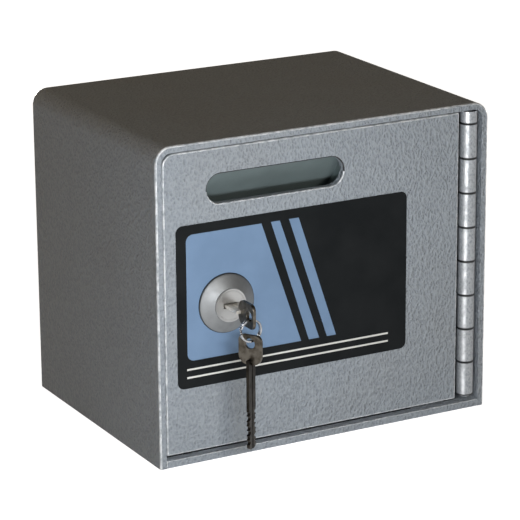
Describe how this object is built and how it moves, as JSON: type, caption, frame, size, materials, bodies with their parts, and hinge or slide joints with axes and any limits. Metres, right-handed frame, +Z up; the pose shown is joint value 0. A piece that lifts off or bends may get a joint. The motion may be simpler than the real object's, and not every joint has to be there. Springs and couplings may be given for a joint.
{
  "type": "drop box",
  "caption": "Small steel drop box with a side-hung door, a deposit slot over a baffle, a cam lock with its key in it and a spare key on the split ring.",
  "frame": {"origin": "centre of the box's underside, where it stands", "axes": "+Z up, -Y out of the front with the door in it, +X to the right of somebody who faces the door"},
  "size_m": [0.266, 0.2434, 0.23],
  "materials": {
    "hammered_paint": "hammered",
    "inner_paint": "satin",
    "hinge_paint": "satin",
    "badge_sheet": "satin",
    "lock_chrome": "satin",
    "zinc": "satin",
    "key_nickel": "satin",
    "ring_steel": "polished"
  },
  "bodies": {
    "box": {"shell": "hammered_paint", "base_panel": "hammered_paint", "back_panel": "hammered_paint", "shell_welds": "inner_paint", "side_stop": "inner_paint", "top_stop": "inner_paint", "bottom_stop": "inner_paint", "catch": "inner_paint", "packing_strip": "inner_paint", "body_leaf": "hinge_paint", "body_leaf_welds": "inner_paint", "hinge_pin": "hinge_paint"},
    "door": {"door_panel": "hammered_paint", "door_leaf": "hinge_paint", "door_leaf_welds": "inner_paint", "badge_plate": "badge_sheet", "baffle": "inner_paint", "baffle_welds": "inner_paint", "escutcheon": "lock_chrome", "lock_housing": "lock_chrome", "lock_nut": "zinc"},
    "lock": {"lock_plug": "lock_chrome", "cam": "zinc", "cam_nut": "zinc"},
    "key": {"key_blade": "key_nickel", "key_bow": "key_nickel"},
    "ring": {"key_ring": "ring_steel"},
    "spare": {"spare_blade": "key_nickel", "spare_bow": "key_nickel"}
  },
  "joints": [
    {"name": "door_hinge", "type": "hinge", "parent": "box", "child": "door", "pos_m": [0.1183, -0.0971, 0.118], "axis": [0, 0, 1], "range_deg": [0, 130]},
    {"name": "lock_turn", "type": "hinge", "parent": "door", "child": "lock", "pos_m": [-0.0806, -0.1, 0.1138], "axis": [0, 1, 0], "range_deg": [0, 90]},
    {"name": "key_slide", "type": "slide", "parent": "lock", "child": "key", "axis": [0, -1, 0], "range_m": [0, 0.05]},
    {"name": "ring_swing", "type": "hinge", "parent": "key", "child": "ring", "pos_m": [-0.0806, -0.1353, 0.1138], "axis": [-1, 0, 0], "range_deg": [-16, 90]},
    {"name": "spare_swing", "type": "hinge", "parent": "ring", "child": "spare", "pos_m": [-0.0806, -0.1353, 0.1036], "axis": [0, 1, 0], "range_deg": [-90, 90]}
  ]
}
